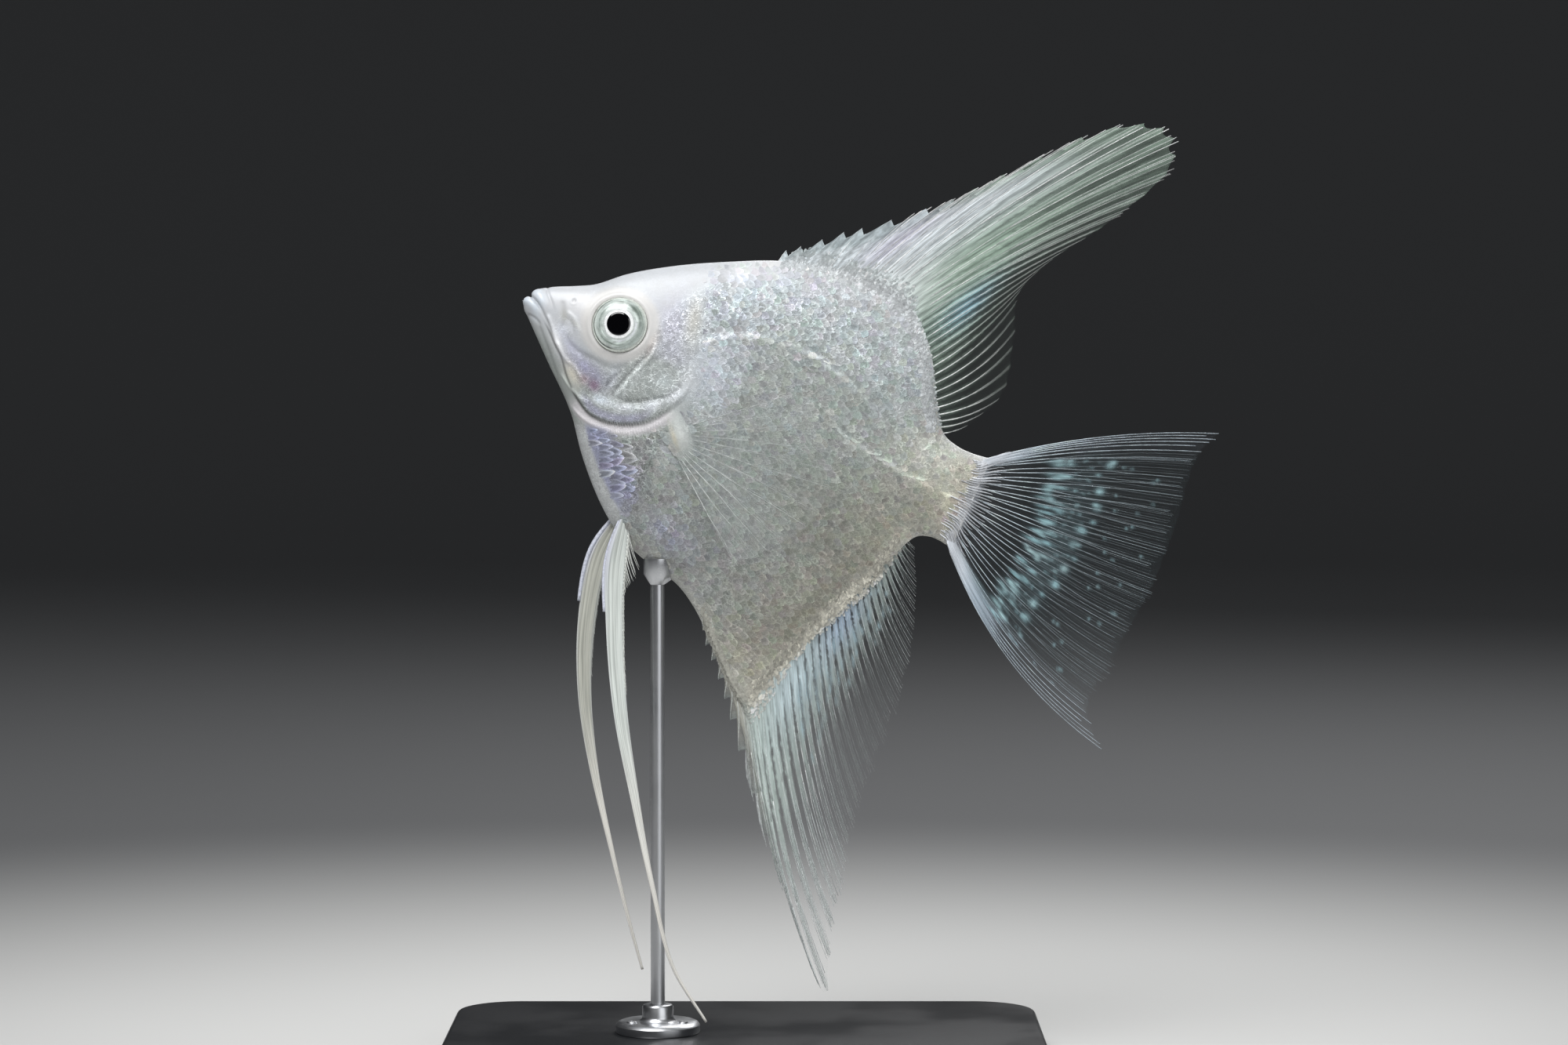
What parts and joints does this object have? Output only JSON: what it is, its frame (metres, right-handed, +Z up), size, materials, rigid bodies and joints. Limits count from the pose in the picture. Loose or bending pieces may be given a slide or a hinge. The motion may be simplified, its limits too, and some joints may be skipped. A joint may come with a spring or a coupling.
{
  "type": "freshwater angelfish",
  "caption": "Life-size display model of a pale, tall-finned freshwater angelfish, nose up, held over a flat base by a thin rod; for display, study or a scene.",
  "frame": {"origin": "centre of the stand base's underside", "axes": "+Z up; +Y towards the fish's right side; the fish faces -X with its nose raised 24 degrees, its left side towards -Y"},
  "size_m": [0.1186, 0.064, 0.1453],
  "materials": {
    "crown": "pearly white skin, slightly metallic",
    "lip": "pale, smooth, damp",
    "gill": "silvery plate with a bright rim",
    "flank": "silver-grey scales, warmer towards the tail",
    "fin": "clear skin between milky blue-grey rays",
    "ribbon": "opaque milky white",
    "eye": "silver-green iris round a black pupil under a clear dome",
    "lacquer": "satin black lacquer",
    "steel": "fine brushed"
  },
  "bodies": {
    "root": {"head": "crown", "upper_jaw": "lip", "lower_jaw": "lip", "gill_cover_left": "gill", "gill_cover_right": "gill", "breast": "flank", "trunk": "flank", "tail_base": "flank", "eye_left": "eye", "eye_right": "eye", "dorsal_fin": "fin", "anal_fin": "fin", "caudal_fin": "fin", "pectoral_fin_left": "fin", "pectoral_fin_right": "fin", "pelvic_fin_left": "ribbon", "pelvic_fin_right": "ribbon", "stand_base": "lacquer", "stand_flange": "steel", "stand_rod": "steel", "stand_saddle": "steel"}
  },
  "joints": []
}
